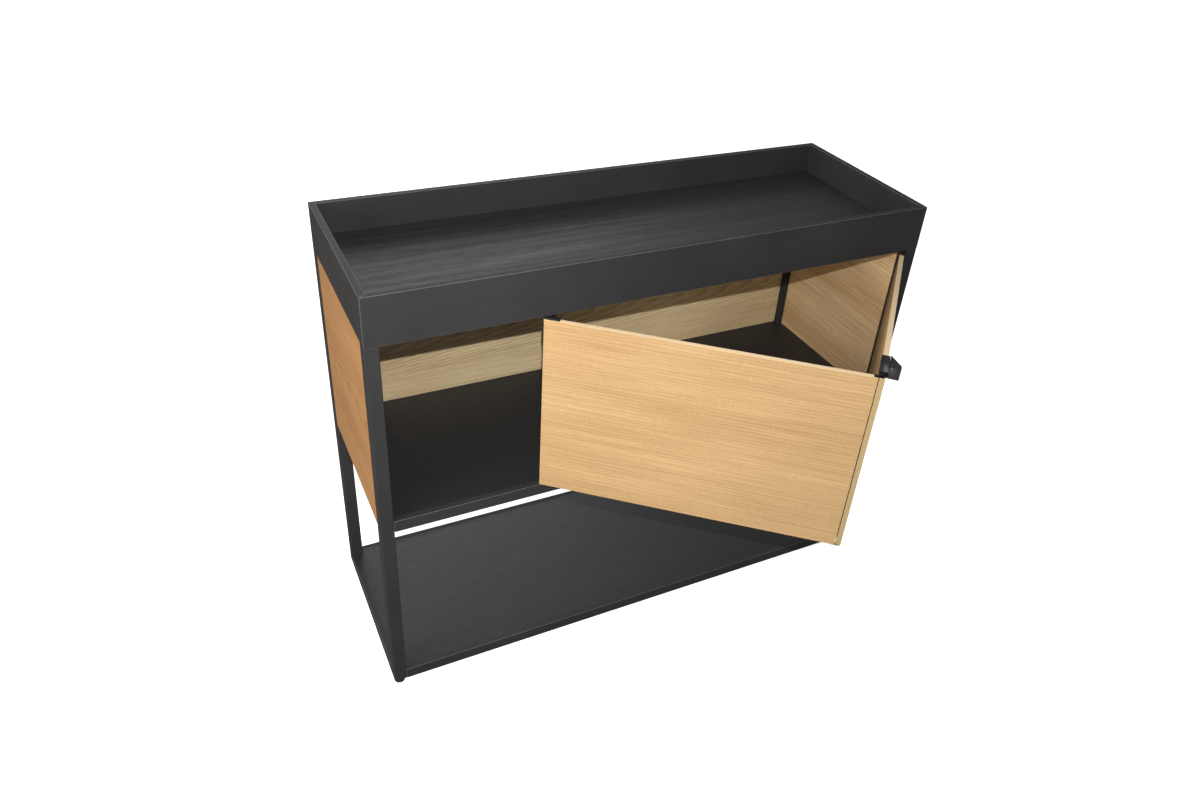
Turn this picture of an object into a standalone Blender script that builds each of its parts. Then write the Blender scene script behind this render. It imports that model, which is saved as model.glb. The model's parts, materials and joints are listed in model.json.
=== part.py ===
"""Low sideboard: a deep tray on a square-tube frame, two shelves, three oak panels and a folding oak door.

Metres, +Z up, origin on the floor under the front left foot. The front faces -Y. The door stands part open:
leaf_a swings on pins at the right front post, leaf_b folds on leaf_a, and a peg on leaf_b runs in a track
behind the front wall of the tray. Pieces are drawn about the middle of the sideboard, and moved at the end.
"""

import math

import bmesh
import bpy
from mathutils import Vector

# ---------------------------------------------------------------- overall sizes
WIDTH = 1.000
DEPTH = 0.340
HEIGHT = 0.795
MID_SHELF_TOP = 0.387
FRAME_LIFT = 0.010  # underside of the frame above the floor

# ---------------------------------------------------------------- clearances
GAP = 0.0003  # between pieces that touch
BORE_CLEARANCE = 0.0002  # round a pin, on the radius

# ---------------------------------------------------------------- frame members
POST = 0.022
POST_WALL = 0.002
RAIL_HEIGHT = 0.022
LIP = 0.0105  # outer part of a rail, level with the top of its panel
SHELF_THICK = 0.0097
TUBE_ROUND = 0.0012
EDGE_ROUND = 0.0006

# ---------------------------------------------------------------- tray
TRAY_HEIGHT = 0.081
TRAY_WALL = 0.0105
TRAY_DEPTH = 0.055  # from the rim down to the floor of the tray
LEDGE_END_GAP = 0.001
LEDGE_RISE = 0.0012  # ledge above the bottom of the tray walls

# ---------------------------------------------------------------- oak panels
SIDE_THICK = 0.009
SIDE_RECESS = 0.0015
BACK_THICK = 0.009
BACK_RECESS = 0.002

# ---------------------------------------------------------------- feet
PAD_RADIUS = 0.0095
PAD_HEIGHT = 0.0075
STUD_RADIUS = 0.004
STUD_TOP = 0.026
PLUG_LENGTH = 0.020

# ---------------------------------------------------------------- screws
FRAME_SCREW_RADIUS = 0.0025
FRAME_SCREW_HEAD_RADIUS = 0.0045
FRAME_SCREW_HEAD = 0.003
TRACK_SCREW_RADIUS = 0.002
TRACK_SCREW_HEAD_RADIUS = 0.0036
TRACK_SCREW_HEAD = 0.0016
TRACK_SCREW_SPACING = 0.600

# ---------------------------------------------------------------- door
LEAF_THICK = 0.008
LEAF_SETBACK = 0.0007  # front of the closed door behind the front of the frame
LEAF_CLEARANCE = 0.003  # above and below the door
SWING = math.radians(45.6)  # how far leaf_a stands open
SWING_MAX = math.radians(57.0)
PIVOT_TAIL = 0.0034  # leaf_a beyond its pivot axis
POST_CLEARANCE = 0.0005  # turning corner of leaf_a to the post
LEAF_A_REACH = 0.4486  # pivot axis to fold axis
FOLD_TAIL = 0.0032  # leaf_a beyond the fold axis
FOLD_GAP = 0.0025
END_CLEARANCE = 0.0008  # closed door to the left post

# ---------------------------------------------------------------- door hardware
PIN_RADIUS = 0.002
PIN_DEPTH = 0.014
FITTING_THICK = 0.0015
FOLD_PLATE_WIDTH = 0.006
FOLD_PLATE_LENGTH = 0.012
FOLD_PLATE_THICK = 0.001
PIVOT_CAP_LENGTH = 0.022
PIVOT_CAP_DROP = 0.011
CHEEK_THICK = 0.0012
WASHER_RADIUS = 0.0038
WASHER_THICK = 0.0024
GUIDE_END_THICK = 0.0012
GUIDE_DROP = 0.021
GUIDE_LENGTH = 0.026
GUIDE_INSET = 0.0075  # peg axis from the end of the guide bracket
GUIDE_ARM_WIDTH = 0.011
GUIDE_ARM_THICK = 0.004
PEG_RADIUS = 0.003
PEG_CLEARANCE = 0.0008
PEG_STRAY = 0.0130  # how far the peg has moved forwards in the track at SWING
TRACK_WALL = 0.0015
TRACK_HEIGHT = 0.014
PEG_TOP_CLEARANCE = 0.003

# ---------------------------------------------------------------- pull
PULL_LENGTH = 0.066
PULL_COVER = 0.0021
PULL_BACK_LIP = 0.0027
PULL_LIP_START = 0.015
PULL_LIP_DROP = 0.010
GRIP_STANDOFF = 0.0017  # grip in front of the leaf, so that it clears the tray
GRIP_REACH = 0.0168
GRIP_HEIGHT = 0.0205
GRIP_TIP_HEIGHT = 0.003
GRIP_TIP = 0.003  # width of the grip's thin end
GRIP_SQUARE = 0.012  # straight part of the grip's outer side
GRIP_CHAMFER = 0.0012

# ---------------------------------------------------------------- worked-out places
HALF_W = WIDTH / 2
HALF_D = DEPTH / 2
INNER_X = HALF_W - POST
INNER_Y = HALF_D - POST
TRAY_BOTTOM = HEIGHT - TRAY_HEIGHT
TRAY_FLOOR_TOP = HEIGHT - TRAY_DEPTH
TRAY_LEDGE_TOP = TRAY_FLOOR_TOP - SHELF_THICK - GAP
POST_TOP = TRAY_BOTTOM - GAP
RAIL_LEDGE = RAIL_HEIGHT - SHELF_THICK - GAP
MID_RAIL_BOTTOM = MID_SHELF_TOP - RAIL_HEIGHT
SIDE_OUTER_X = HALF_W - SIDE_RECESS
SIDE_INNER_X = SIDE_OUTER_X - SIDE_THICK
BACK_OUTER_Y = HALF_D - BACK_RECESS
BACK_INNER_Y = BACK_OUTER_Y - BACK_THICK
SHELF_X = HALF_W - LIP - GAP
SHELF_Y = HALF_D - LIP - GAP
FRAME_SCREW_INSET = TRAY_WALL + (POST - TRAY_WALL) * 0.39

LEAF_BOTTOM = MID_SHELF_TOP + LEAF_CLEARANCE
LEAF_TOP = TRAY_BOTTOM - LEAF_CLEARANCE
LEAF_Y = -HALF_D + LEAF_SETBACK + LEAF_THICK / 2
PIVOT_X = INNER_X - math.hypot(PIVOT_TAIL, LEAF_THICK / 2) - POST_CLEARANCE
FOLD_X = PIVOT_X - LEAF_A_REACH  # fold axis with the door closed
LEAF_B_START = FOLD_X - FOLD_TAIL - FOLD_GAP
GUIDE_END_X = -INNER_X + END_CLEARANCE
LEAF_B_END = GUIDE_END_X + GUIDE_END_THICK + GAP
PEG_X = GUIDE_END_X + GUIDE_INSET
TRAY_WALL_BACK = -HALF_D + TRAY_WALL + 2 * GAP
TRACK_TOP = TRAY_LEDGE_TOP
TRACK_BOTTOM = TRACK_TOP - TRACK_HEIGHT
PEG_TOP = TRACK_TOP - TRACK_WALL - PEG_TOP_CLEARANCE


def fold_ratio(arm):
    """Turn of leaf_b on leaf_a for each turn of leaf_a, so that the peg is PEG_STRAY forwards at SWING."""
    along = FOLD_X - PEG_X
    side = LEAF_A_REACH * math.sin(SWING) + arm - PEG_STRAY
    turn = math.asin(side / math.hypot(along, arm)) - math.atan2(arm, along)
    return round(1 + turn / SWING, 3)


def peg_path(arm):
    """Depths of the peg's axis as leaf_a goes from closed to fully open."""
    along = FOLD_X - PEG_X
    path = []
    for step in range(41):
        swing = SWING_MAX * step / 40
        turn = swing * (fold_ratio(arm) - 1)
        across = along * math.sin(turn) + arm * math.cos(turn) - LEAF_A_REACH * math.sin(swing)
        path.append(LEAF_Y + across)
    return path


def guide_arm():
    """Peg axis behind the middle of leaf_b, so that the track just clears the back of the tray wall."""
    arm = LEAF_THICK
    for _ in range(20):
        front = min(peg_path(arm)) - PEG_RADIUS - PEG_CLEARANCE - TRACK_WALL
        arm += TRAY_WALL_BACK - front
    return arm


GUIDE_ARM = guide_arm()
FOLD_RATIO = fold_ratio(GUIDE_ARM)
PEG_Y = LEAF_Y + GUIDE_ARM
TRACK_FRONT = min(peg_path(GUIDE_ARM)) - PEG_RADIUS - PEG_CLEARANCE
TRACK_BACK = max(peg_path(GUIDE_ARM)) + PEG_RADIUS + PEG_CLEARANCE


# ---------------------------------------------------------------- helpers
def clear_scene():
    for obj in list(bpy.data.objects):
        bpy.data.objects.remove(obj, do_unlink=True)


def material(name, colour, roughness, metallic=0.0):
    made = bpy.data.materials.new(name)
    made.use_nodes = True
    shader = made.node_tree.nodes["Principled BSDF"]
    shader.inputs["Base Color"].default_value = (*colour, 1)
    shader.inputs["Roughness"].default_value = roughness
    shader.inputs["Metallic"].default_value = metallic
    made.diffuse_color = (*colour, 1)
    return made


def add_object(name, bm, finish, parent=None, smooth=False):
    bmesh.ops.recalc_face_normals(bm, faces=bm.faces)
    mesh = bpy.data.meshes.new(name)
    bm.to_mesh(mesh)
    bm.free()
    if smooth:
        mesh.shade_smooth()
        mesh.set_sharp_from_angle(angle=math.radians(35))
    mesh.materials.append(finish)
    obj = bpy.data.objects.new(name, mesh)
    bpy.context.scene.collection.objects.link(obj)
    if parent:
        obj.parent = parent
    return obj


def empty(name, place, turn, parent=None):
    obj = bpy.data.objects.new(name, None)
    bpy.context.scene.collection.objects.link(obj)
    obj.location = place
    obj.rotation_euler = (0, 0, turn)
    if parent:
        obj.parent = parent
    return obj


def round_edges(obj, width, segments=2):
    bevel = obj.modifiers.new("round", "BEVEL")
    bevel.width = width
    bevel.segments = segments
    bevel.limit_method = "ANGLE"
    bevel.angle_limit = math.radians(40)
    return obj


def prism(name, outline, bottom, top, finish, parent=None):
    """An outline in plan, drawn straight up."""
    bm = bmesh.new()
    face = bm.faces.new([bm.verts.new((x, y, bottom)) for x, y in outline])
    up = bmesh.ops.extrude_face_region(bm, geom=[face])
    risen = [item for item in up["geom"] if isinstance(item, bmesh.types.BMVert)]
    bmesh.ops.translate(bm, vec=(0, 0, top - bottom), verts=risen)
    return add_object(name, bm, finish, parent)


def box(name, low, high, finish, parent=None):
    outline = [(low[0], low[1]), (high[0], low[1]), (high[0], high[1]), (low[0], high[1])]
    return prism(name, outline, low[2], high[2], finish, parent)


def bar(name, section, start, end, across, finish):
    """A straight bar. section holds (across, up) points, from the bar's outer bottom edge."""
    bm = bmesh.new()
    rings = []
    for place in (start, end):
        corner = Vector(place)
        rings.append([bm.verts.new(corner + Vector(across) * a + Vector((0, 0, u))) for a, u in section])
    first, last = rings
    bm.faces.new(first)
    bm.faces.new(last[::-1])
    for i in range(len(section)):
        j = (i + 1) % len(section)
        bm.faces.new((first[i], first[j], last[j], last[i]))
    return add_object(name, bm, finish)


def turned(name, profile, centre, finish, parent=None, sides=28):
    """A round piece about a vertical axis. profile holds (radius, height) pairs from bottom to top."""
    bm = bmesh.new()
    rings = []
    for radius, height in profile:
        ring = []
        for step in range(sides):
            angle = 2 * math.pi * step / sides
            x = centre[0] + radius * math.cos(angle)
            y = centre[1] + radius * math.sin(angle)
            ring.append(bm.verts.new((x, y, height)))
        rings.append(ring)
    bm.faces.new(rings[0][::-1])
    bm.faces.new(rings[-1])
    for lower, upper in zip(rings, rings[1:]):
        for i in range(sides):
            j = (i + 1) % sides
            bm.faces.new((lower[i], lower[j], upper[j], upper[i]))
    return add_object(name, bm, finish, parent, smooth=True)


def pin(name, centre, radius, bottom, top, finish, parent=None):
    nose = radius * 0.15
    profile = [(radius - nose, bottom), (radius, bottom + nose), (radius, top - nose), (radius - nose, top)]
    return turned(name, profile, centre, finish, parent, sides=24)


def cutter(name, centre, radius, bottom, top, parent=None):
    tool = turned(name, [(radius, bottom), (radius, top)], centre, CUTTER, parent, sides=24)
    tool.hide_render = True
    tool.display_type = "WIRE"
    return tool


def combine(obj, other, operation):
    step = obj.modifiers.new(operation.lower(), "BOOLEAN")
    step.operation = operation
    step.object = other
    other.hide_render = True
    other.display_type = "WIRE"


def bore(obj, centre, radius, bottom, top, parent=None):
    tool = cutter(obj.name + "_bore", centre, radius + BORE_CLEARANCE, bottom, top, parent)
    combine(obj, tool, "DIFFERENCE")


CORNERS = {
    "front_left": (-1, -1),
    "front_right": (1, -1),
    "back_left": (-1, 1),
    "back_right": (1, 1),
}


# ---------------------------------------------------------------- frame
def make_posts():
    """Four square tubes, open at both ends."""
    for corner, (sx, sy) in CORNERS.items():
        x = sx * (HALF_W - POST / 2)
        y = sy * (HALF_D - POST / 2)
        half = POST / 2
        low = (x - half, y - half, FRAME_LIFT)
        high = (x + half, y + half, POST_TOP)
        post = round_edges(box("post_" + corner, low, high, PAINT), TUBE_ROUND)
        hollow = half - POST_WALL
        low = (x - hollow, y - hollow, FRAME_LIFT - POST)
        high = (x + hollow, y + hollow, POST_TOP + POST)
        combine(post, box("post_hollow_" + corner, low, high, CUTTER), "DIFFERENCE")


def stepped_section():
    """A rail's section: the lip outside, and a lower ledge inside that carries a panel."""
    return [
        (0, 0),
        (POST, 0),
        (POST, RAIL_LEDGE),
        (LIP, RAIL_LEDGE),
        (LIP, RAIL_HEIGHT),
        (0, RAIL_HEIGHT),
    ]


def make_long_rails(level, bottom):
    """Front and back rails between the posts."""
    reach = INNER_X - GAP
    for side, sy in (("front", -1), ("back", 1)):
        start = (-reach, sy * HALF_D, bottom)
        end = (reach, sy * HALF_D, bottom)
        rail = bar(f"{level}_rail_{side}", stepped_section(), start, end, (0, -sy, 0), PAINT)
        round_edges(rail, EDGE_ROUND)


def make_bottom_side_rails():
    reach = INNER_Y - GAP
    for side, sx in (("left", -1), ("right", 1)):
        start = (sx * HALF_W, -reach, FRAME_LIFT)
        end = (sx * HALF_W, reach, FRAME_LIFT)
        rail = bar(f"bottom_rail_{side}", stepped_section(), start, end, (-sx, 0, 0), PAINT)
        round_edges(rail, EDGE_ROUND)


def make_mid_side_rails():
    """Plain bearers behind the oak sides, which carry the ends of the middle shelf."""
    reach = INNER_Y - GAP
    for side, sx in (("left", -1), ("right", 1)):
        outer = sx * (SIDE_INNER_X - GAP)
        inner = sx * INNER_X
        low = (min(outer, inner), -reach, MID_RAIL_BOTTOM)
        high = (max(outer, inner), reach, MID_RAIL_BOTTOM + RAIL_LEDGE)
        round_edges(box(f"mid_rail_{side}", low, high, PAINT), EDGE_ROUND)


def make_tray_walls():
    """Four walls with mitred corners. Those at the back and sides have a ledge under the tray floor."""
    mitre = GAP / math.sqrt(2)
    ledge_reach_y = HALF_D - TRAY_WALL - LEDGE_END_GAP
    for side, sy in (("front", -1), ("back", 1)):
        outline = [
            (-HALF_W + mitre, sy * HALF_D),
            (HALF_W - mitre, sy * HALF_D),
            (HALF_W - TRAY_WALL - mitre, sy * (HALF_D - TRAY_WALL)),
            (-HALF_W + TRAY_WALL + mitre, sy * (HALF_D - TRAY_WALL)),
        ]
        wall = round_edges(prism(f"tray_wall_{side}", outline, TRAY_BOTTOM, HEIGHT, PAINT), EDGE_ROUND)
        if side == "back":
            low = (-INNER_X + GAP, INNER_Y, TRAY_BOTTOM + LEDGE_RISE)
            high = (INNER_X - GAP, HALF_D - TRAY_WALL / 2, TRAY_LEDGE_TOP)
            combine(wall, box("tray_ledge_back", low, high, CUTTER), "UNION")
    for side, sx in (("left", -1), ("right", 1)):
        outline = [
            (sx * HALF_W, -HALF_D + mitre),
            (sx * HALF_W, HALF_D - mitre),
            (sx * (HALF_W - TRAY_WALL), HALF_D - TRAY_WALL - mitre),
            (sx * (HALF_W - TRAY_WALL), -HALF_D + TRAY_WALL + mitre),
        ]
        wall = round_edges(prism(f"tray_wall_{side}", outline, TRAY_BOTTOM, HEIGHT, PAINT), EDGE_ROUND)
        ends = sorted((sx * INNER_X, sx * (HALF_W - TRAY_WALL / 2)))
        low = (ends[0], -ledge_reach_y, TRAY_BOTTOM + LEDGE_RISE)
        high = (ends[1], ledge_reach_y, TRAY_LEDGE_TOP)
        combine(wall, box(f"tray_ledge_{side}", low, high, CUTTER), "UNION")


def notched_outline(reach_x, reach_y, notch_x, notch_y):
    """A rectangle with a square notch at each corner, round a post."""
    outline = []
    for sx, sy in ((-1, -1), (1, -1), (1, 1), (-1, 1)):
        notch = [(sx * reach_x, sy * notch_y), (sx * notch_x, sy * notch_y), (sx * notch_x, sy * reach_y)]
        outline += notch if sx * sy > 0 else notch[::-1]
    return outline


def make_shelves():
    notch_x = INNER_X - GAP
    notch_y = INNER_Y - GAP
    mid = notched_outline(SIDE_INNER_X - GAP, SHELF_Y, notch_x, notch_y)
    top = MID_SHELF_TOP
    round_edges(prism("mid_shelf", mid, top - SHELF_THICK, top, DARK_PANEL), EDGE_ROUND / 2)
    low = notched_outline(SHELF_X, SHELF_Y, notch_x, notch_y)
    top = FRAME_LIFT + RAIL_HEIGHT
    round_edges(prism("bottom_shelf", low, top - SHELF_THICK, top, DARK_PANEL), EDGE_ROUND / 2)
    reach_x = HALF_W - TRAY_WALL - GAP
    reach_y = HALF_D - TRAY_WALL - GAP
    bottom = TRAY_FLOOR_TOP - SHELF_THICK
    floor = box("tray_floor", (-reach_x, -reach_y, bottom), (reach_x, reach_y, TRAY_FLOOR_TOP), DARK_PANEL)
    for sx in (-1, 1):
        place = (sx * TRACK_SCREW_SPACING / 2, (TRACK_FRONT + TRACK_BACK) / 2)
        bore(floor, place, TRACK_SCREW_RADIUS, bottom - SHELF_THICK, TRAY_FLOOR_TOP - SHELF_THICK / 3)
    round_edges(floor, EDGE_ROUND / 2)


def make_oak_panels():
    reach_y = INNER_Y - GAP
    for side, sx in (("left", -1), ("right", 1)):
        ends = sorted((sx * SIDE_INNER_X, sx * SIDE_OUTER_X))
        low = (ends[0], -reach_y, MID_RAIL_BOTTOM)
        high = (ends[1], reach_y, POST_TOP)
        round_edges(box(f"side_panel_{side}", low, high, OAK), EDGE_ROUND)
    reach_x = INNER_X - GAP
    low = (-reach_x, BACK_INNER_Y, MID_SHELF_TOP + GAP)
    high = (reach_x, BACK_OUTER_Y, POST_TOP)
    round_edges(box("back_panel", low, high, OAK), EDGE_ROUND)


def make_post_fittings():
    """In each post: a plug and screw at the top, and a plug, stud and pad at the bottom."""
    half = POST / 2 - POST_WALL - GAP
    for corner, (sx, sy) in CORNERS.items():
        x = sx * (HALF_W - POST / 2)
        y = sy * (HALF_D - POST / 2)
        screw = (sx * (HALF_W - FRAME_SCREW_INSET), sy * (HALF_D - FRAME_SCREW_INSET))
        bottom = POST_TOP - PLUG_LENGTH
        low = (x - half, y - half, bottom)
        plug = box("top_plug_" + corner, low, (x + half, y + half, POST_TOP), NYLON)
        bore(plug, screw, FRAME_SCREW_RADIUS, bottom - POST, POST_TOP + POST)
        head = bottom - GAP
        tip = TRAY_BOTTOM + (TRAY_LEDGE_TOP - TRAY_BOTTOM) * 0.6
        profile = [
            (FRAME_SCREW_HEAD_RADIUS, head - FRAME_SCREW_HEAD),
            (FRAME_SCREW_HEAD_RADIUS, head),
            (FRAME_SCREW_RADIUS, head),
            (FRAME_SCREW_RADIUS, tip),
        ]
        turned("frame_screw_" + corner, profile, screw, STEEL, sides=20)
        wall = bpy.data.objects["tray_wall_left" if sx < 0 else "tray_wall_right"]
        tool = cutter("frame_screw_hole_" + corner, screw, FRAME_SCREW_RADIUS + BORE_CLEARANCE,
                      TRAY_BOTTOM - POST, tip + GAP)
        combine(wall, tool, "DIFFERENCE")

        low = (x - half, y - half, FRAME_LIFT)
        plug = box("foot_plug_" + corner, low, (x + half, y + half, FRAME_LIFT + PLUG_LENGTH), NYLON)
        bore(plug, (x, y), STUD_RADIUS, FRAME_LIFT - POST, FRAME_LIFT + PLUG_LENGTH + POST)
        pin("foot_stud_" + corner, (x, y), STUD_RADIUS, PAD_HEIGHT + GAP, STUD_TOP, STEEL)
        edge = PAD_RADIUS * 0.12
        profile = [
            (PAD_RADIUS - edge, 0),
            (PAD_RADIUS, edge),
            (PAD_RADIUS, PAD_HEIGHT - edge),
            (PAD_RADIUS - edge, PAD_HEIGHT),
        ]
        turned("foot_pad_" + corner, profile, (x, y), RUBBER, sides=32)


# ---------------------------------------------------------------- door, drawn closed
def make_track():
    """A downward-open channel under the tray floor, long enough to carry the floor's front edge."""
    reach = INNER_X - GAP
    outer_front = TRACK_FRONT - TRACK_WALL
    width = TRACK_BACK - TRACK_FRONT + 2 * TRACK_WALL
    section = [
        (0, 0),
        (TRACK_WALL, 0),
        (TRACK_WALL, TRACK_HEIGHT - TRACK_WALL),
        (width - TRACK_WALL, TRACK_HEIGHT - TRACK_WALL),
        (width - TRACK_WALL, 0),
        (width, 0),
        (width, TRACK_HEIGHT),
        (0, TRACK_HEIGHT),
    ]
    start = (-reach, outer_front, TRACK_BOTTOM)
    track = bar("door_track", section, start, (reach, outer_front, TRACK_BOTTOM), (0, 1, 0), ALUMINIUM)
    for number, sx in ((1, -1), (2, 1)):
        place = (sx * TRACK_SCREW_SPACING / 2, (TRACK_FRONT + TRACK_BACK) / 2)
        bore(track, place, TRACK_SCREW_RADIUS, TRACK_BOTTOM, TRACK_TOP + TRACK_HEIGHT)
        under = TRACK_TOP - TRACK_WALL - GAP
        profile = [
            (TRACK_SCREW_HEAD_RADIUS * 0.8, under - TRACK_SCREW_HEAD),
            (TRACK_SCREW_HEAD_RADIUS, under - TRACK_SCREW_HEAD * 0.6),
            (TRACK_SCREW_HEAD_RADIUS, under),
            (TRACK_SCREW_RADIUS, under),
            (TRACK_SCREW_RADIUS, TRAY_FLOOR_TOP - SHELF_THICK / 2),
        ]
        turned(f"track_screw_{number}", profile, place, STEEL, sides=20)


def in_frame(axis, x, y):
    """Closed-door place as seen from the axis that the piece turns on."""
    return (x - axis[0], y - axis[1])


def make_leaf(name, left, right, axis, parent):
    low = in_frame(axis, left, LEAF_Y - LEAF_THICK / 2) + (LEAF_BOTTOM,)
    high = in_frame(axis, right, LEAF_Y + LEAF_THICK / 2) + (LEAF_TOP,)
    return box(name, low, high, OAK, parent)


def make_leaf_a(parent, axis):
    leaf = make_leaf("leaf_a", FOLD_X - FOLD_TAIL, PIVOT_X + PIVOT_TAIL, axis, parent)
    pivot = (0, 0)
    fold = in_frame(axis, FOLD_X, LEAF_Y)
    far = PIN_DEPTH + GAP
    for number, place in enumerate((pivot, fold)):
        for end, bottom, top in (
            ("top", LEAF_TOP - far, LEAF_TOP + PIN_DEPTH),
            ("bottom", LEAF_BOTTOM - PIN_DEPTH, LEAF_BOTTOM + far),
        ):
            name = f"leaf_a_bore_{number}_{end}"
            tool = cutter(name, place, PIN_RADIUS + BORE_CLEARANCE, bottom, top, parent)
            combine(leaf, tool, "DIFFERENCE")
    round_edges(leaf, EDGE_ROUND / 2)


def make_pivots(parent):
    """Pins in the tray wall and the middle rail that leaf_a turns on, and a washer that carries it."""
    place = (PIVOT_X, LEAF_Y)
    sink = 0.010
    pin("pivot_pin_top", place, PIN_RADIUS, LEAF_TOP - PIN_DEPTH, TRAY_BOTTOM + sink, STEEL)
    pin("pivot_pin_bottom", place, PIN_RADIUS, MID_SHELF_TOP - sink, LEAF_BOTTOM + PIN_DEPTH, STEEL)
    wall = bpy.data.objects["tray_wall_front"]
    rail = bpy.data.objects["mid_rail_front"]
    bore(wall, place, PIN_RADIUS, TRAY_BOTTOM - POST, TRAY_BOTTOM + sink + GAP)
    bore(rail, place, PIN_RADIUS, MID_SHELF_TOP - sink - GAP, MID_SHELF_TOP + POST)
    washer_profile = [
        (WASHER_RADIUS, MID_SHELF_TOP + GAP),
        (WASHER_RADIUS, MID_SHELF_TOP + GAP + WASHER_THICK),
    ]
    washer = turned("pivot_washer", washer_profile, place, NYLON, sides=24)
    bore(washer, place, PIN_RADIUS, MID_SHELF_TOP - POST, LEAF_BOTTOM + POST)

    half = LEAF_THICK / 2
    top = LEAF_TOP + GAP
    left = -PIVOT_CAP_LENGTH + PIVOT_TAIL
    outer = -half - GAP - CHEEK_THICK
    outline = [(left, outer), (0, outer), (0, -half), (PIVOT_TAIL, -half), (PIVOT_TAIL, half), (left, half)]
    cap = prism("pivot_cap", outline, top, top + FITTING_THICK, BLACK_PLASTIC, parent)
    low = (left, outer, LEAF_TOP - PIVOT_CAP_DROP)
    cheek = box("pivot_cap_cheek", low, (0, -half - GAP, top + FITTING_THICK), CUTTER, parent)
    combine(cap, cheek, "UNION")
    bore_radius = PIN_RADIUS + BORE_CLEARANCE
    tool = cutter("pivot_cap_bore", (0, 0), bore_radius, LEAF_TOP - POST, LEAF_TOP + POST, parent)
    combine(cap, tool, "DIFFERENCE")


def plan_capsule(start, end, radius, steps=8):
    """A strip in plan, round at its start and square at its end, along -X."""
    outline = [(end, -radius)]
    for step in range(steps + 1):
        angle = -math.pi / 2 + math.pi * step / steps
        outline.append((start + radius * math.cos(angle), radius * math.sin(angle)))
    outline.append((end, radius))
    return outline


def make_fold_hinges(leaf_a_axis, leaf_b_axis):
    """Plates on the top and bottom edges of leaf_b, each turning on a pin in the edge of leaf_a."""
    fold_on_a = (FOLD_X - PIVOT_X, 0)
    half = FOLD_PLATE_WIDTH / 2
    for end in ("top", "bottom"):
        if end == "top":
            low = LEAF_TOP + GAP
            pin_bottom, pin_top = LEAF_TOP - PIN_DEPTH, low + FOLD_PLATE_THICK
        else:
            low = LEAF_BOTTOM - GAP - FOLD_PLATE_THICK
            pin_bottom, pin_top = low, LEAF_BOTTOM + PIN_DEPTH
        outline = plan_capsule(0, -FOLD_PLATE_LENGTH, half)
        plate = prism(f"fold_plate_{end}", outline, low, low + FOLD_PLATE_THICK, DARK_STEEL, leaf_b_axis)
        bore(plate, (0, 0), PIN_RADIUS, low - POST, low + POST, leaf_b_axis)
        pin(f"fold_pin_{end}", fold_on_a, PIN_RADIUS, pin_bottom, pin_top, STEEL, leaf_a_axis)


def make_pull(parent):
    """A moulded cap over the top edge of leaf_a at the fold, with a grip that stands in front of the tray."""
    end_x = FOLD_X - FOLD_TAIL - PIVOT_X
    far_x = end_x + PULL_LENGTH
    half = LEAF_THICK / 2
    face = -half - GRIP_STANDOFF
    inside_grip = face - GRIP_TIP / 2
    low_z = LEAF_TOP + GAP
    top_z = low_z + PULL_COVER
    back = half + GAP + PULL_BACK_LIP
    over_plate = low_z + FOLD_PLATE_THICK + GAP
    pull = box("door_pull", (end_x, inside_grip, over_plate), (far_x, back, top_z), BLACK_PLASTIC, parent)

    seat_x = end_x + PULL_LIP_START
    seat = box("pull_seat", (seat_x, inside_grip, low_z), (far_x, back, top_z), CUTTER, parent)
    combine(pull, seat, "UNION")
    lip_low = (seat_x, half + GAP, LEAF_TOP - PULL_LIP_DROP)
    combine(pull, box("pull_lip", lip_low, (far_x, back, top_z), CUTTER, parent), "UNION")

    outline = [
        (end_x, face),
        (far_x, face),
        (far_x, face - GRIP_TIP),
        (end_x + GRIP_SQUARE, face - GRIP_REACH),
        (end_x, face - GRIP_REACH),
    ]
    grip = prism("pull_grip", outline, low_z, low_z + GRIP_HEIGHT, CUTTER, parent)
    for point in grip.data.vertices:
        if point.co.z > low_z and point.co.x > far_x - GAP:
            point.co.z = low_z + GRIP_TIP_HEIGHT
    chamfer = grip.modifiers.new("chamfer", "BEVEL")
    chamfer.width = GRIP_CHAMFER
    chamfer.segments = 1
    chamfer.limit_method = "ANGLE"
    combine(pull, grip, "UNION")


def make_leaf_b(parent, axis):
    make_leaf("leaf_b", LEAF_B_END, LEAF_B_START, axis, parent)
    round_edges(bpy.data.objects["leaf_b"], EDGE_ROUND / 2)


def make_guide(parent, axis):
    """A bracket round the free top corner of leaf_b, with an arm behind it that holds the peg."""
    end_x = GUIDE_END_X - axis[0]
    half = LEAF_THICK / 2
    top = LEAF_TOP + GAP + FITTING_THICK
    bottom = LEAF_TOP - GUIDE_DROP
    back = half + GAP
    low = (end_x, -half, bottom)
    high = (end_x + GUIDE_END_THICK, back + FITTING_THICK, top)
    bracket = box("guide_bracket", low, high, BLACK_PLASTIC, parent)
    low = (end_x, back, bottom)
    high = (end_x + GUIDE_LENGTH, back + FITTING_THICK, top)
    combine(bracket, box("guide_back", low, high, CUTTER, parent), "UNION")
    low = (end_x, -half, LEAF_TOP + GAP)
    high = (end_x + GUIDE_LENGTH, back + FITTING_THICK, top)
    combine(bracket, box("guide_cover", low, high, CUTTER, parent), "UNION")
    peg = in_frame(axis, PEG_X, PEG_Y)
    arm_bottom = bottom + (LEAF_TOP - bottom) / 2
    low = (peg[0] - GUIDE_ARM_WIDTH / 2, back, arm_bottom)
    high = (peg[0] + GUIDE_ARM_WIDTH / 2, peg[1] + GUIDE_ARM_WIDTH / 2, arm_bottom + GUIDE_ARM_THICK)
    combine(bracket, box("guide_arm", low, high, CUTTER, parent), "UNION")
    hole_radius = PEG_RADIUS + BORE_CLEARANCE
    tool = cutter("guide_peg_hole", peg, hole_radius, arm_bottom - POST, arm_bottom + POST, parent)
    combine(bracket, tool, "DIFFERENCE")
    pin("guide_peg", peg, PEG_RADIUS, arm_bottom, PEG_TOP, NYLON, parent)


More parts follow.
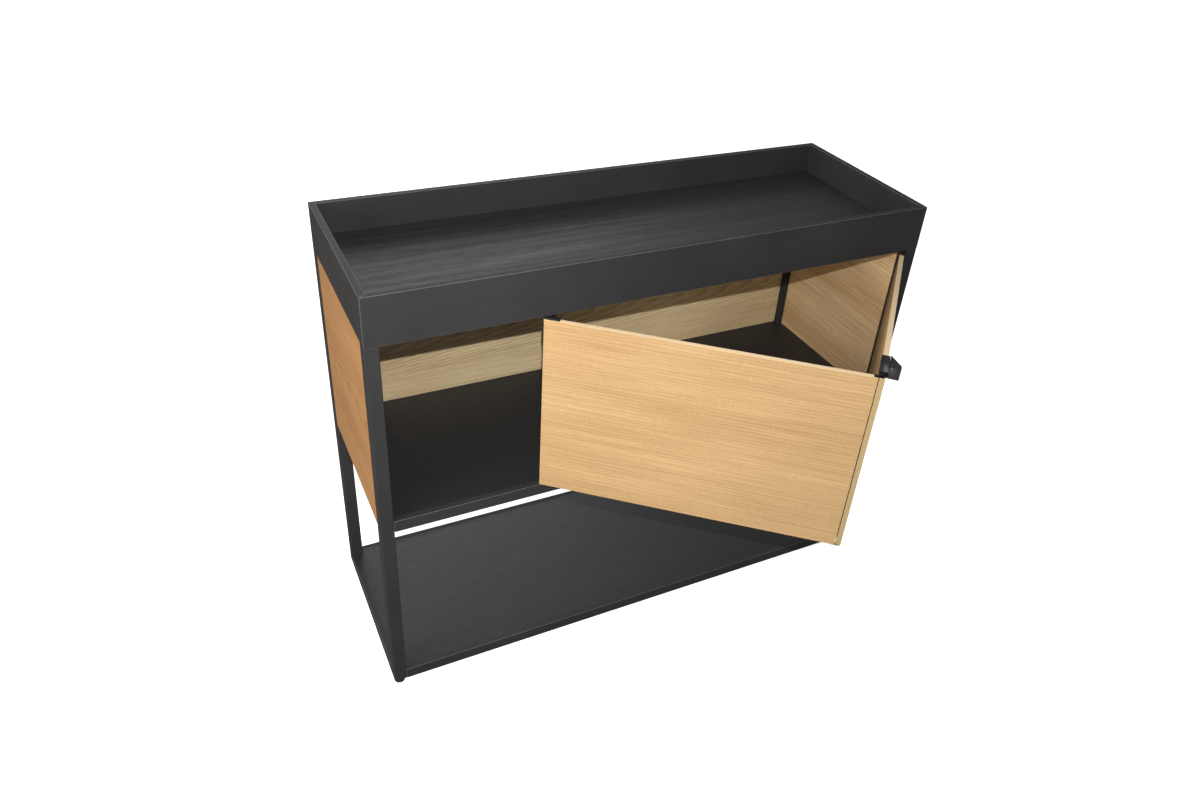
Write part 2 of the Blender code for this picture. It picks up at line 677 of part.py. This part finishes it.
def make_door():
    pivot = (PIVOT_X, LEAF_Y)
    fold = (FOLD_X, LEAF_Y)
    leaf_a_axis = empty("leaf_a_axis", (*pivot, 0), SWING)
    leaf_b_axis = empty("leaf_b_axis", (fold[0] - pivot[0], 0, 0), -SWING * FOLD_RATIO, leaf_a_axis)
    make_track()
    make_leaf_a(leaf_a_axis, pivot)
    make_pivots(leaf_a_axis)
    make_leaf_b(leaf_b_axis, fold)
    make_fold_hinges(leaf_a_axis, leaf_b_axis)
    make_pull(leaf_a_axis)
    make_guide(leaf_b_axis, fold)


def stand_on_front_left_foot():
    whole = empty("sideboard", (HALF_W - POST / 2, HALF_D - POST / 2, 0), 0)
    for obj in bpy.context.scene.objects:
        if obj.parent is None and obj is not whole:
            obj.parent = whole


clear_scene()
PAINT = material("charcoal_powder_coat", (0.045, 0.045, 0.047), 0.55)
DARK_PANEL = material("black_stained_board", (0.030, 0.030, 0.031), 0.5)
OAK = material("oak_veneer", (0.72, 0.50, 0.27), 0.5)
BLACK_PLASTIC = material("black_moulded_plastic", (0.03, 0.03, 0.032), 0.45)
NYLON = material("black_nylon", (0.04, 0.04, 0.04), 0.6)
RUBBER = material("foot_rubber", (0.02, 0.02, 0.02), 0.8)
STEEL = material("zinc_plated_steel", (0.6, 0.6, 0.6), 0.35, 1.0)
DARK_STEEL = material("blackened_steel", (0.08, 0.08, 0.08), 0.45, 1.0)
ALUMINIUM = material("anodised_aluminium", (0.5, 0.5, 0.5), 0.4, 1.0)
CUTTER = material("cutter", (1, 0, 0), 1.0)

make_posts()
make_long_rails("mid", MID_RAIL_BOTTOM)
make_long_rails("bottom", FRAME_LIFT)
make_bottom_side_rails()
make_mid_side_rails()
make_tray_walls()
make_shelves()
make_oak_panels()
make_post_fittings()
make_door()
stand_on_front_left_foot()
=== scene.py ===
"""A low sideboard: charcoal steel frame, black tray and shelves, oak panels and a folding oak door."""

import json
import math

import bpy
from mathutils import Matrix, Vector


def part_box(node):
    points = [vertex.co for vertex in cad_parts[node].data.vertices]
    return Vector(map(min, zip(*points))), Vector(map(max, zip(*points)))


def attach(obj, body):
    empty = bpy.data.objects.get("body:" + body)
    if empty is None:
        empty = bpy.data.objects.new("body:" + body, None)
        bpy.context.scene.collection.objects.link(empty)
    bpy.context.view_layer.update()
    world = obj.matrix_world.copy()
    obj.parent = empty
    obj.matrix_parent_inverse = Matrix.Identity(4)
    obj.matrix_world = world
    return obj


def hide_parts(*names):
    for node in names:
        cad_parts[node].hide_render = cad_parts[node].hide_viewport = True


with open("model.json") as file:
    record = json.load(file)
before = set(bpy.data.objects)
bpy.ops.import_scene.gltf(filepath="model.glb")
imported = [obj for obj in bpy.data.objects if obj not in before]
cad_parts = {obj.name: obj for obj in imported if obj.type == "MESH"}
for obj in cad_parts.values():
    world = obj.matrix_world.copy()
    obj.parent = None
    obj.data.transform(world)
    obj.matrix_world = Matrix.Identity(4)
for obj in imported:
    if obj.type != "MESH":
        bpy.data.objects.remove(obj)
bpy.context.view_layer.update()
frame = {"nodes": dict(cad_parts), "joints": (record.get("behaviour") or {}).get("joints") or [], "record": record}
nodes = frame["nodes"]

MM = 0.001
FLAT = 0.98  # a flat face, and not a rounded edge, looks this much along an axis
MOSTLY = 0.7  # a face looks this much along an axis
UPWARD = 0.3  # a face looks at least this much upwards
BAND_MEAN = 1 / 3  # average of a growth band's tone
MERGE_DISTANCE = 0.01 * MM
SAME_FACE_ANGLE = math.radians(1)
EASED_EDGE_ANGLE = math.radians(40)  # sharper edges than this are eased
MOULDING_SMOOTH_ANGLE = math.radians(30)
COATED_SMOOTH_ANGLE = math.radians(40)
MIDDLE = (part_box("tray_floor")[0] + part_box("tray_floor")[1]) / 2
STAND = MIDDLE.xy.to_3d()  # on the floor, under the middle
JOINT_PLACE = {joint["name"]: Vector(joint["pos_m"]) for joint in frame["joints"]}
HINGE = JOINT_PLACE["leaf_a_hinge"]
FOLD = JOINT_PLACE["leaf_b_fold"]
LEAF_A_TURN = math.atan2(HINGE.y - FOLD.y, HINGE.x - FOLD.x)
FOLD_RATIO = frame["record"]["behaviour"]["couplings"][0]["ratio"]
LEAF_B_TURN = LEAF_A_TURN * (1 + FOLD_RATIO)

CAMERA_PLACE = Vector((-0.7160, -1.2875, 1.4153))  # from STAND, as are the lamps' places
CAMERA_TURN = (56.537, -3.585, -25.948)  # degrees
CAMERA_LENS = 28.0
SENSOR_WIDTH = 36.0
CAMERA_SHIFT = (-0.0061, -0.0191)
SURROUND_STRENGTH = 0.24
FLOOR_SIZE = 300
FLOOR_GLOW = 0.86
PORE_BROWN = "#85613a"
RAY_CREAM = "#f3ddb8"


# ------------------------------------------------------------------ camera, lights and floor
def make_camera():
    """The main view, from above the front left corner."""
    camera = bpy.data.objects.new("camera", bpy.data.cameras.new("camera"))
    bpy.context.scene.collection.objects.link(camera)
    camera.location = STAND + CAMERA_PLACE
    camera.rotation_euler = [math.radians(turn) for turn in CAMERA_TURN]
    camera.data.lens = CAMERA_LENS
    camera.data.sensor_width = SENSOR_WIDTH
    camera.data.shift_x, camera.data.shift_y = CAMERA_SHIFT
    bpy.context.scene.camera = camera


def make_softbox(name, place, target, size, watts, colour="#ffffff", spread=180):
    """A round area lamp aimed at target; spread is its beam in degrees."""
    lamp = bpy.data.lights.new(name, "AREA")
    lamp.shape = "DISK"
    lamp.size = size
    lamp.energy = watts
    lamp.spread = math.radians(spread)
    lamp.color = linear(colour)[:3]
    box = bpy.data.objects.new(name, lamp)
    bpy.context.scene.collection.objects.link(box)
    box.location = STAND + Vector(place)
    aim = STAND + Vector(target) - box.location
    box.rotation_euler = aim.to_track_quat("-Z", "Y").to_euler()


def make_light():
    """A small flash beside the lens makes crisp shadows; weak broad lamps and a dim surround fill them."""
    make_softbox("camera_flash", (-0.706, -1.2875, 1.525), (-0.35, 0, 0.5), 0.014, 11, spread=120)
    make_softbox("left_softbox", (-2.3, -1.0, 1.1), (-0.3, 0, 0.5), 1.4, 44, "#fff1dc")
    make_softbox("back_softbox", (0.2, 2.6, 1.7), (0, 0, 0.6), 2.4, 36)
    world = bpy.data.worlds.new("studio")
    world.use_nodes = True
    world.node_tree.nodes["Background"].inputs["Color"].default_value = linear("#f4f6fa")
    world.node_tree.nodes["Background"].inputs["Strength"].default_value = SURROUND_STRENGTH
    bpy.context.scene.world = world
    bpy.context.scene.view_settings.view_transform = "Standard"


def make_floor():
    """A pale floor that sends no light back to the object, so the frame stays dark."""
    bpy.ops.object.select_all(action="DESELECT")
    bpy.ops.mesh.primitive_plane_add(size=FLOOR_SIZE, location=(MIDDLE.x, MIDDLE.y, 0))
    floor = bpy.context.object
    floor.name = "studio_floor"
    floor.data.materials.append(studio_paper())
    floor.visible_diffuse = False
    floor.visible_glossy = False


# ------------------------------------------------------------------ materials
def linear(code):
    """An sRGB hex colour as the linear values that a shader takes."""
    parts = [int(code[i:i + 2], 16) / 255 for i in (1, 3, 5)]
    return tuple(p / 12.92 if p <= 0.04045 else ((p + 0.055) / 1.055) ** 2.4 for p in parts) + (1.0,)


def node(tree, kind, inputs=None, **settings):
    """Adds a node with its settings, and its inputs as values or as links from other nodes' outputs."""
    made = tree.nodes.new(kind)
    for name, value in settings.items():
        setattr(made, name, value)
    for socket, value in (inputs or {}).items():
        if isinstance(value, bpy.types.NodeSocket):
            tree.links.new(value, made.inputs[socket])
        else:
            made.inputs[socket].default_value = value
    return made


def start_material(name):
    """A new material, its node tree and its shader."""
    made = bpy.data.materials.new(name)
    made.use_nodes = True
    tree = made.node_tree
    return made, tree, tree.nodes["Principled BSDF"]


def studio_paper():
    """Matt backdrop paper: near white, with a drift of tone too faint to notice."""
    made, tree, shader = start_material("studio_paper")
    place = node(tree, "ShaderNodeTexCoord").outputs["Object"]
    tooth = node(tree, "ShaderNodeTexNoise", {"Vector": place, "Scale": 1 / (330 * MM)})
    shade = node(tree, "ShaderNodeMix",
                 {0: tooth.outputs["Fac"], 6: linear("#f7f7f6"), 7: linear("#fbfbfa")}, data_type="RGBA")
    tree.links.new(shade.outputs[2], shader.inputs["Base Color"])
    tree.links.new(shade.outputs[2], shader.inputs["Emission Color"])
    shader.inputs["Emission Strength"].default_value = FLOOR_GLOW
    shader.inputs["Roughness"].default_value = 0.9
    return made


def powder_coated_steel(name, dark, light, rough):
    """Steel tube and sheet under a charcoal powder coat: matt, its gloss broken up by a fine orange peel."""
    made, tree, shader = start_material(name)
    place = node(tree, "ShaderNodeTexCoord").outputs["Object"]
    drift = node(tree, "ShaderNodeTexNoise", {"Vector": place, "Scale": 1 / (140 * MM), "Detail": 3.0})
    grit = node(tree, "ShaderNodeTexNoise", {"Vector": place, "Scale": 1 / (1.6 * MM), "Detail": 2.0})
    tone = node(tree, "ShaderNodeMath", {0: drift.outputs["Fac"], 1: 0.5}, operation="MULTIPLY")
    tone = node(tree, "ShaderNodeMath", {0: grit.outputs["Fac"], 1: 0.5, 2: tone.outputs[0]},
                operation="MULTIPLY_ADD")
    tone = node(tree, "ShaderNodeMapRange", {"Value": tone.outputs[0], "From Min": 0.3, "From Max": 0.7})
    colour = node(tree, "ShaderNodeMix", {0: tone.outputs[0], 6: linear(dark), 7: linear(light)},
                  data_type="RGBA")
    tree.links.new(colour.outputs[2], shader.inputs["Base Color"])
    gloss = node(tree, "ShaderNodeMapRange",
                 {"Value": drift.outputs["Fac"], "To Min": rough - 0.06, "To Max": rough + 0.06})
    tree.links.new(gloss.outputs[0], shader.inputs["Roughness"])
    shader.inputs["Specular IOR Level"].default_value = 0.35
    peel = node(tree, "ShaderNodeTexNoise", {"Vector": place, "Scale": 1 / (1.4 * MM), "Detail": 1.0})
    bump = node(tree, "ShaderNodeBump",
                {"Height": peel.outputs["Fac"], "Strength": 0.35, "Distance": 0.06 * MM})
    tree.links.new(bump.outputs[0], shader.inputs["Normal"])
    return made


def grain_place(tree, turn, shift=(0, 0, 0)):
    """Coordinates along the grain in X, through the board in Y and across the grain in Z."""
    place = node(tree, "ShaderNodeTexCoord").outputs["Object"]
    mapped = node(tree, "ShaderNodeMapping",
                  {"Vector": place, "Rotation": (0, 0, -turn), "Location": shift})
    return mapped.outputs[0]


def stretched(tree, place, along, across):
    """The same place in units of along and across, for a pattern with cells of that size."""
    scaled = node(tree, "ShaderNodeMapping",
                  {"Vector": place, "Scale": (1 / along, 1 / across, 1 / across)})
    return scaled.outputs[0]


def ring_bands(tree, place, heart, ring):
    """Growth bands from 0 to 1: straight ones ring apart, or the long arches of a cathedral about heart."""
    parts = node(tree, "ShaderNodeSeparateXYZ", {0: place})
    along, across = parts.outputs["X"], parts.outputs["Z"]
    if heart is None:
        rings = node(tree, "ShaderNodeMath", {0: across, 1: 1 / ring}, operation="MULTIPLY")
        sway, waver = 2.2, 0.7
    else:
        off_x = node(tree, "ShaderNodeMath", {0: along, 1: heart[0]}, operation="SUBTRACT")
        off_z = node(tree, "ShaderNodeMath", {0: across, 1: heart[1]}, operation="SUBTRACT")
        squared = node(tree, "ShaderNodeMath",
                       {0: off_z.outputs[0], 1: off_z.outputs[0]}, operation="MULTIPLY")
        arch = node(tree, "ShaderNodeMath",
                    {0: squared.outputs[0], 1: 0.10 / ring**2}, operation="MULTIPLY")
        rings = node(tree, "ShaderNodeMath", {0: off_x.outputs[0], 1: 0.16 / ring, 2: arch.outputs[0]},
                     operation="MULTIPLY_ADD")
        sway, waver = 2.6, 0.9
    slow = node(tree, "ShaderNodeTexNoise",
                {"Vector": stretched(tree, place, 420 * MM, 70 * MM), "Scale": 1.0, "Detail": 2.0})
    quick = node(tree, "ShaderNodeTexNoise",
                 {"Vector": stretched(tree, place, 110 * MM, 10 * MM), "Scale": 1.0, "Detail": 3.0})
    rings = node(tree, "ShaderNodeMath", {0: slow.outputs["Fac"], 1: sway, 2: rings.outputs[0]},
                 operation="MULTIPLY_ADD")
    rings = node(tree, "ShaderNodeMath", {0: quick.outputs["Fac"], 1: waver, 2: rings.outputs[0]},
                 operation="MULTIPLY_ADD")
    band = node(tree, "ShaderNodeMath", {0: rings.outputs[0]}, operation="FRACT")
    band = node(tree, "ShaderNodeMath", {0: band.outputs[0], 1: 2.0}, operation="POWER")
    return band.outputs[0]


def oak_veneer(name, turn, light, dark, shift=(0, 0, 0), heart=None, ring=6 * MM, bands=0.5, fibres=1.0,
               flecks=0.0):
    """Sliced oak under a matt lacquer: growth bands, fine fibres and short open pores along the board.

    bands and fibres say how strongly each shows, and flecks the pale rays that cross the grain.
    """
    made, tree, shader = start_material(name)
    place = grain_place(tree, turn, shift)
    band = ring_bands(tree, place, heart, ring)
    fibre = node(tree, "ShaderNodeTexNoise",
                 {"Vector": stretched(tree, place, 110 * MM, 1.5 * MM), "Scale": 1.0, "Detail": 3.0,
                  "Roughness": 0.62})
    streak = node(tree, "ShaderNodeTexNoise",
                  {"Vector": stretched(tree, place, 260 * MM, 5.5 * MM), "Scale": 1.0, "Detail": 2.0})
    cloud = node(tree, "ShaderNodeTexNoise",
                 {"Vector": stretched(tree, place, 320 * MM, 55 * MM), "Scale": 1.0, "Detail": 2.0})
    tone = node(tree, "ShaderNodeMath",
                {0: band, 1: bands, 2: 0.5 - bands * BAND_MEAN}, operation="MULTIPLY_ADD")
    for pattern, weight in ((fibre, 1.1 * fibres), (streak, 0.9 * fibres), (cloud, 0.9)):
        centred = node(tree, "ShaderNodeMath", {0: pattern.outputs["Fac"], 1: 0.5}, operation="SUBTRACT")
        tone = node(tree, "ShaderNodeMath", {0: centred.outputs[0], 1: weight, 2: tone.outputs[0]},
                    operation="MULTIPLY_ADD")
    tone = node(tree, "ShaderNodeClamp", {0: tone.outputs[0]})
    colour = node(tree, "ShaderNodeMix", {0: tone.outputs[0], 6: linear(light), 7: linear(dark)},
                  data_type="RGBA")
    pore = node(tree, "ShaderNodeTexNoise",
                {"Vector": stretched(tree, place, 14 * MM, 0.8 * MM), "Scale": 1.0, "Detail": 1.0})
    pits = node(tree, "ShaderNodeMapRange",
                {"Value": pore.outputs["Fac"], "From Min": 0.60, "From Max": 0.72})
    depth = node(tree, "ShaderNodeMath", {0: pits.outputs[0], 1: 0.35}, operation="MULTIPLY")
    colour = node(tree, "ShaderNodeMix", {0: depth.outputs[0], 6: colour.outputs[2], 7: linear(PORE_BROWN)},
                  data_type="RGBA")
    ray = node(tree, "ShaderNodeTexNoise",
               {"Vector": stretched(tree, place, 2.2 * MM, 26 * MM), "Scale": 1.0, "Detail": 1.0})
    ray = node(tree, "ShaderNodeMapRange",
               {"Value": ray.outputs["Fac"], "From Min": 0.62, "From Max": 0.78, "To Max": flecks})
    colour = node(tree, "ShaderNodeMix", {0: ray.outputs[0], 6: colour.outputs[2], 7: linear(RAY_CREAM)},
                  data_type="RGBA")
    tree.links.new(colour.outputs[2], shader.inputs["Base Color"])
    gloss = node(tree, "ShaderNodeMapRange",
                 {"Value": fibre.outputs["Fac"], "To Min": 0.46, "To Max": 0.60})
    tree.links.new(gloss.outputs[0], shader.inputs["Roughness"])
    shader.inputs["IOR"].default_value = 1.48
    relief = node(tree, "ShaderNodeMath",
                  {0: fibre.outputs["Fac"], 1: pits.outputs[0]}, operation="SUBTRACT")
    bump = node(tree, "ShaderNodeBump",
                {"Height": relief.outputs[0], "Strength": 0.35, "Distance": 0.06 * MM})
    tree.links.new(bump.outputs[0], shader.inputs["Normal"])
    return made


def oak_lipping(name, light, dark):
    """Solid oak edging under a matt lacquer: fine straight fibres, with no pores or bands."""
    made, tree, shader = start_material(name)
    place = node(tree, "ShaderNodeTexCoord").outputs["Object"]
    fibre = node(tree, "ShaderNodeTexNoise",
                 {"Vector": stretched(tree, place, 5 * MM, 1.5 * MM), "Scale": 1.0})
    colour = node(tree, "ShaderNodeMix", {0: fibre.outputs["Fac"], 6: linear(light), 7: linear(dark)},
                  data_type="RGBA")
    tree.links.new(colour.outputs[2], shader.inputs["Base Color"])
    shader.inputs["Roughness"].default_value = 0.5
    return made


def black_stained_veneer(name, dark, light, streaks):
    """Board with a black stained veneer under satin lacquer: the grain shows only as a faint sheen."""
    made, tree, shader = start_material(name)
    place = grain_place(tree, 0)
    fibre = node(tree, "ShaderNodeTexNoise",
                 {"Vector": stretched(tree, place, 26 * MM, 1.6 * MM), "Scale": 1.0, "Detail": 3.0})
    streak = node(tree, "ShaderNodeTexNoise",
                  {"Vector": stretched(tree, place, 420 * MM, 12 * MM), "Scale": 1.0, "Detail": 3.0})
    tone = node(tree, "ShaderNodeMath", {0: streak.outputs["Fac"], 1: streaks, 2: 0.5 - streaks / 2},
                operation="MULTIPLY_ADD")
    tone = node(tree, "ShaderNodeMath", {0: fibre.outputs["Fac"], 1: tone.outputs[0]})
    tone = node(tree, "ShaderNodeMapRange", {"Value": tone.outputs[0], "From Min": 0.70, "From Max": 1.30})
    colour = node(tree, "ShaderNodeMix", {0: tone.outputs[0], 6: linear(dark), 7: linear(light)},
                  data_type="RGBA")
    tree.links.new(colour.outputs[2], shader.inputs["Base Color"])
    gloss = node(tree, "ShaderNodeMapRange", {"Value": tone.outputs[0], "To Min": 0.64, "To Max": 0.48})
    tree.links.new(gloss.outputs[0], shader.inputs["Roughness"])
    bump = node(tree, "ShaderNodeBump",
                {"Height": fibre.outputs["Fac"], "Strength": 0.4, "Distance": 0.08 * MM})
    tree.links.new(bump.outputs[0], shader.inputs["Normal"])
    return made


def moulded_plastic(name, shade, worn, roughness):
    """Injection-moulded plastic: an even colour with a fine spark-eroded texture."""
    made, tree, shader = start_material(name)
    place = node(tree, "ShaderNodeTexCoord").outputs["Object"]
    grit = node(tree, "ShaderNodeTexNoise", {"Vector": place, "Scale": 1 / (0.9 * MM), "Detail": 2.0})
    smear = node(tree, "ShaderNodeTexNoise", {"Vector": place, "Scale": 1 / (12 * MM), "Detail": 2.0})
    tone = node(tree, "ShaderNodeMath",
                {0: grit.outputs["Fac"], 1: smear.outputs["Fac"]}, operation="MULTIPLY")
    colour = node(tree, "ShaderNodeMix", {0: tone.outputs[0], 6: linear(shade), 7: linear(worn)},
                  data_type="RGBA")
    tree.links.new(colour.outputs[2], shader.inputs["Base Color"])
    shader.inputs["Roughness"].default_value = roughness
    bump = node(tree, "ShaderNodeBump",
                {"Height": grit.outputs["Fac"], "Strength": 0.3, "Distance": 0.06 * MM})
    tree.links.new(bump.outputs[0], shader.inputs["Normal"])
    return made


def plated_metal(name, shade, roughness):
    """Plated or anodised metal with a faint drawn line along it."""
    made, tree, shader = start_material(name)
    place = node(tree, "ShaderNodeTexCoord").outputs["Object"]
    drawn = node(tree, "ShaderNodeTexNoise",
                 {"Vector": stretched(tree, place, 40 * MM, 0.8 * MM), "Scale": 1.0})
    gloss = node(tree, "ShaderNodeMapRange",
                 {"Value": drawn.outputs["Fac"], "To Min": roughness - 0.08, "To Max": roughness + 0.08})
    tree.links.new(gloss.outputs[0], shader.inputs["Roughness"])
    shader.inputs["Base Color"].default_value = linear(shade)
    shader.inputs["Metallic"].default_value = 1.0
    return made


# ------------------------------------------------------------------ pieces
def give(names, material):
    """Gives CAD nodes their only material."""
    for name in names:
        slots = nodes[name].data.materials
        slots.clear()
        slots.append(material)


def copy_of(name, new_name):
    """A merged copy of a CAD piece, to be worked on."""
    bpy.ops.object.select_all(action="DESELECT")
    piece = bpy.data.objects.new(new_name, nodes[name].data.copy())
    bpy.context.scene.collection.objects.link(piece)
    piece.data.materials.clear()
    bpy.context.view_layer.objects.active = piece
    piece.select_set(True)
    bpy.ops.object.mode_set(mode="EDIT")
    bpy.ops.mesh.select_all(action="SELECT")
    bpy.ops.mesh.remove_doubles(threshold=MERGE_DISTANCE)
    bpy.ops.mesh.dissolve_limited(angle_limit=SAME_FACE_ANGLE)
    bpy.ops.object.mode_set(mode="OBJECT")
    return piece


def weigh_normals(piece):
    """Large faces keep their own normals, so that they shade flat beside rounded edges."""
    weighted = piece.modifiers.new("weigh", "WEIGHTED_NORMAL")
    weighted.keep_sharp = True
    bpy.context.view_layer.objects.active = piece
    bpy.ops.object.modifier_apply(modifier="weigh")


def ease_edges(piece, width, segments=3):
    """Rounds the sharp edges by width."""
    bevel = piece.modifiers.new("ease", "BEVEL")
    bevel.width = width
    bevel.segments = segments
    bevel.limit_method = "ANGLE"
    bevel.angle_limit = EASED_EDGE_ANGLE
    bevel.harden_normals = True
    bpy.context.view_layer.objects.active = piece
    bpy.ops.object.modifier_apply(modifier="ease")
    bpy.ops.object.shade_smooth_by_angle(angle=MOULDING_SMOOTH_ANGLE)


def hollow_top(piece, rim):
    """Sinks the largest upward face by half a rim, inside that rim.

    Known fault: on the pull this is deeper than the cover over the fold plate, so the sunk face comes out
    beneath the cover.
    """
    upward = [face for face in piece.data.polygons if face.normal.z > UPWARD]
    top = max(upward, key=lambda face: face.area)
    for face in piece.data.polygons:
        face.select = face.index == top.index
    bpy.ops.object.mode_set(mode="EDIT")
    bpy.ops.mesh.select_mode(type="FACE")
    bpy.ops.mesh.inset(thickness=rim, depth=-rim / 2)
    bpy.ops.object.mode_set(mode="OBJECT")


def detailed(name, new_name, body, material, width, segments=3, hollow=0.0):
    """A copy of a CAD piece with its edges eased, as moulding or pressing leaves them."""
    piece = copy_of(name, new_name)
    if hollow:
        hollow_top(piece, hollow)
    piece.data.materials.append(material)
    ease_edges(piece, width, segments)
    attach(piece, body)
    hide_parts(name)


def coated_piece(name):
    """A frame piece whose rounded edges are a little lighter than its flats: a painted highlight along the edges.
    """
    piece = copy_of(name, name + "_coated")
    piece.data.materials.append(STEEL_FRAME)
    piece.data.materials.append(STEEL_EDGE_HIGHLIGHT)
    for face in piece.data.polygons:
        face.material_index = 0 if max(abs(part) for part in face.normal) > FLAT else 1
    bpy.ops.object.shade_smooth_by_angle(angle=COATED_SMOOTH_ANGLE)
    weigh_normals(piece)
    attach(piece, "frame")
    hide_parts(name)


def veneered_board(name, new_name, body, veneer, lipping, shaded_lipping, face_axis):
    """A board with veneer on its two faces and oak edging on its edges: the horizontal edges take the lighter
    edging as painted light, the upright edges the darker edging as painted shade.
    """
    board = copy_of(name, new_name)
    board.data.materials.append(veneer)
    board.data.materials.append(lipping)
    board.data.materials.append(shaded_lipping)
    for face in board.data.polygons:
        if abs(face.normal.dot(face_axis)) > MOSTLY:
            face.material_index = 0
        # Index 1 is the horizontal edges, lighter edging as painted light; index 2 is the upright edges, darker
        # edging as painted shade.
        else:
            face.material_index = 1 if abs(face.normal.z) > MOSTLY else 2
    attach(board, body)
    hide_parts(name)


make_camera()
make_light()
make_floor()

STEEL_FRAME = powder_coated_steel("powder_coated_steel", "#242426", "#333335", 0.68)
# The edge coat's lighter colour is a painted highlight along the rounded edges; its lower roughness is real gloss.
STEEL_EDGE_HIGHLIGHT = powder_coated_steel("powder_coat_painted_edge_highlight", "#4c4c4f", "#67676b", 0.42)
TRAY_BLACK = black_stained_veneer("black_stained_tray_veneer", "#1f1f20", "#363636", streaks=1.0)
SHELF_BLACK = black_stained_veneer("black_stained_shelf_veneer", "#1d1e20", "#292a2c", streaks=0.15)
# The same oak edging in two colours: lighter on horizontal edges as painted light, darker on upright edges as
# painted shade.
OAK_LIT_EDGE = oak_lipping("oak_lipping", "#fbe4bf", "#eecb98")
OAK_SHADED_EDGE = oak_lipping("oak_lipping_painted_shade", "#b9a67d", "#9d895f")
give([name for name in nodes if name.startswith("post_")], STEEL_FRAME)
for name in sorted(nodes):
    if name.startswith(("mid_rail", "bottom_rail", "tray_wall")):
        coated_piece(name)
give(["tray_floor"], TRAY_BLACK)
give(["mid_shelf", "bottom_shelf"], SHELF_BLACK)
BLACK_MOULDED = moulded_plastic("glass_filled_nylon", "#1f1f21", "#343436", 0.36)
RUBBER = moulded_plastic("foot_rubber", "#1b1b1c", "#262626", 0.75)
give([name for name in nodes if name.startswith(("top_plug", "foot_plug"))], BLACK_MOULDED)
give(["guide_peg", "pivot_washer"], BLACK_MOULDED)
give([name for name in nodes if name.startswith("foot_pad")], RUBBER)
ZINC = plated_metal("zinc_plated_steel", "#b9bcc0", 0.34)
FASTENERS = ("foot_stud", "frame_screw", "track_screw", "pivot_pin")
give([name for name in nodes if name.startswith(FASTENERS)], ZINC)
give(["fold_pin_top", "fold_pin_bottom"], ZINC)
give(["fold_plate_top", "fold_plate_bottom"], plated_metal("blackened_steel", "#3a3a3c", 0.42))
give(["door_track"], plated_metal("anodised_aluminium", "#8d9094", 0.4))

leaf_a_face = Vector((-math.sin(LEAF_A_TURN), math.cos(LEAF_A_TURN), 0))
leaf_b_face = Vector((-math.sin(LEAF_B_TURN), math.cos(LEAF_B_TURN), 0))
door_oak_a = oak_veneer("oak_veneer_leaf_a", LEAF_A_TURN, "#cdaa7e", "#a48258", bands=0.3, flecks=0.12)
door_oak_b = oak_veneer("oak_veneer_leaf_b", LEAF_B_TURN, "#cbab7f", "#a48358", shift=(0.3, 0, 0.2),
                        bands=0.34, fibres=0.9, flecks=0.14)
veneered_board("leaf_a", "leaf_a_board", "leaf_a", door_oak_a, OAK_LIT_EDGE, OAK_SHADED_EDGE, leaf_a_face)
veneered_board("leaf_b", "leaf_b_board", "leaf_b", door_oak_b, OAK_LIT_EDGE, OAK_SHADED_EDGE, leaf_b_face)
back_oak = oak_veneer("oak_veneer_back", 0, "#e9d6ad", "#aa8e64", heart=(0.29, 0.52), ring=9 * MM, bands=0.5,
                      fibres=0.7)
left_oak = oak_veneer("oak_veneer_left", math.radians(90), "#c69862", "#9a6d42", shift=(0, 0, 0.9),
                      heart=(0.15, 1.45), ring=9 * MM, bands=0.4, fibres=0.8)
right_oak = oak_veneer("oak_veneer_right", math.radians(90), "#f8d8ac", "#b08755", shift=(0, 0, 1.7),
                       ring=6 * MM, bands=0.55, fibres=0.7)
veneered_board("back_panel", "back_panel_board", "frame", back_oak, OAK_LIT_EDGE, OAK_SHADED_EDGE, Vector((0, 1, 0)))
SIDEWAYS = Vector((1, 0, 0))
veneered_board("side_panel_left", "left_panel_board", "frame", left_oak, OAK_LIT_EDGE, OAK_SHADED_EDGE, SIDEWAYS)
veneered_board("side_panel_right", "right_panel_board", "frame", right_oak, OAK_LIT_EDGE, OAK_SHADED_EDGE, SIDEWAYS)

detailed("door_pull", "door_pull_moulding", "leaf_a", BLACK_MOULDED, 0.5 * MM,
         hollow=1.8 * MM)
detailed("guide_bracket", "guide_bracket_moulding", "leaf_b", BLACK_MOULDED, 0.3 * MM)
detailed("pivot_cap", "pivot_cap_moulding", "leaf_a", BLACK_MOULDED, 0.3 * MM)
